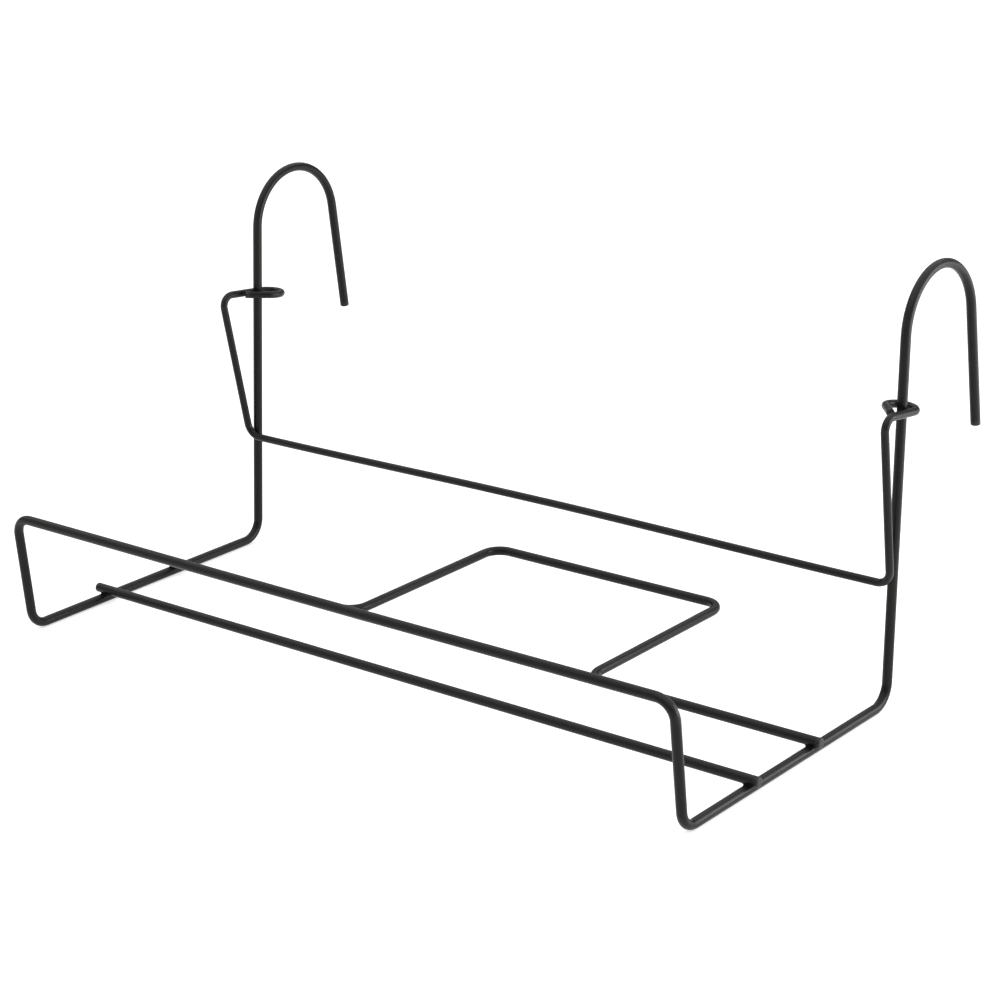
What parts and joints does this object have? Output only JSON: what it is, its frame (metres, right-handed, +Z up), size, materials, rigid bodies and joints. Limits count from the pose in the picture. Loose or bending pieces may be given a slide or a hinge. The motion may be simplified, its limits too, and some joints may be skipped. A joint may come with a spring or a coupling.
{
  "type": "wire hanging cradle",
  "caption": "Bent-wire hanging cradle with two open railing hooks, a guard rail, an open rod floor with a rear spacer loop, and a brace wire that slides on the uprights.",
  "frame": {"origin": "on the ground, below the middle of the bounding box, with the cradle standing on its two side rails", "axes": "+X to the right along the guard rail, +Y back towards the railing that the hooks hang on, +Z up"},
  "size_m": [0.4488, 0.2742, 0.2225],
  "materials": {
    "frame_coat": "satin powder coat",
    "brace_coat": "satin powder coat",
    "weld_coat": "satin powder coat over a weld"
  },
  "bodies": {
    "frame": {"front_guard_rail": "frame_coat", "left_shoulder_bend": "frame_coat", "right_shoulder_bend": "frame_coat", "left_front_leg": "frame_coat", "right_front_leg": "frame_coat", "left_toe_bend": "frame_coat", "right_toe_bend": "frame_coat", "left_side_rail": "frame_coat", "right_side_rail": "frame_coat", "left_heel_bend": "frame_coat", "right_heel_bend": "frame_coat", "left_upright": "frame_coat", "right_upright": "frame_coat", "left_hook_arc": "frame_coat", "right_hook_arc": "frame_coat", "left_hook_leg": "frame_coat", "right_hook_leg": "frame_coat", "front_floor_rod": "frame_coat", "rear_rod_left": "frame_coat", "rear_rod_right": "frame_coat", "loop_foot_left": "frame_coat", "loop_foot_right": "frame_coat", "loop_arm_left": "frame_coat", "loop_arm_right": "frame_coat", "loop_corner_left": "frame_coat", "loop_corner_right": "frame_coat", "loop_back_bar": "frame_coat", "weld_front_left": "weld_coat", "weld_front_right": "weld_coat", "weld_rear_left": "weld_coat", "weld_rear_right": "weld_coat"},
    "brace": {"brace_bar": "brace_coat", "left_brace_foot": "brace_coat", "right_brace_foot": "brace_coat", "left_brace_leg": "brace_coat", "right_brace_leg": "brace_coat", "left_brace_top": "brace_coat", "right_brace_top": "brace_coat", "left_eye_outer_run": "brace_coat", "right_eye_outer_run": "brace_coat", "left_eye_turn": "brace_coat", "right_eye_turn": "brace_coat", "left_eye_end": "brace_coat", "right_eye_end": "brace_coat"}
  },
  "joints": [
    {"name": "brace_slide", "type": "slide", "parent": "frame", "child": "brace", "axis": [0, 0.068, 0.9977], "range_m": [-0.048, 0.03]}
  ]
}
